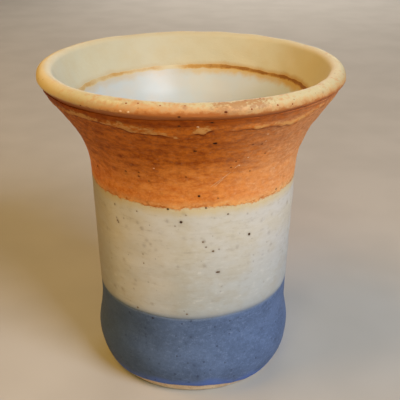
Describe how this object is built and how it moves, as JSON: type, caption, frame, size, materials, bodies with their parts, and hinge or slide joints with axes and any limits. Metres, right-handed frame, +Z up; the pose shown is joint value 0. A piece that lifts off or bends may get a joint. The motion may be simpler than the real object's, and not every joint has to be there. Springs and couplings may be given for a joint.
{
  "type": "flared ceramic vase",
  "caption": "Wheel-thrown stoneware vase with a straight wall, swelled foot and wide flared mouth with a rolled lip, in bands of orange, grey-white and slate-blue glaze.",
  "frame": {"origin": "centre of the foot ring, on the table", "axes": "+Z up the vase's own axis, out of the mouth"},
  "size_m": [0.1, 0.1, 0.1095],
  "materials": {
    "clay": "bare fired stoneware, matt",
    "blue_glaze": "satin, speckled",
    "white_glaze": "satin, brushed and speckled",
    "orange_glaze": "satin, brushed iron glaze",
    "cream_glaze": "satin, speckled",
    "rust_glaze": "satin",
    "liner_glaze": "glossy"
  },
  "bodies": {
    "root": {"clay_body": "clay", "foot_glaze": "blue_glaze", "waist_glaze": "white_glaze", "collar_glaze": "orange_glaze", "lip_glaze": "cream_glaze", "iron_line": "rust_glaze", "liner_glaze": "liner_glaze"}
  },
  "joints": []
}
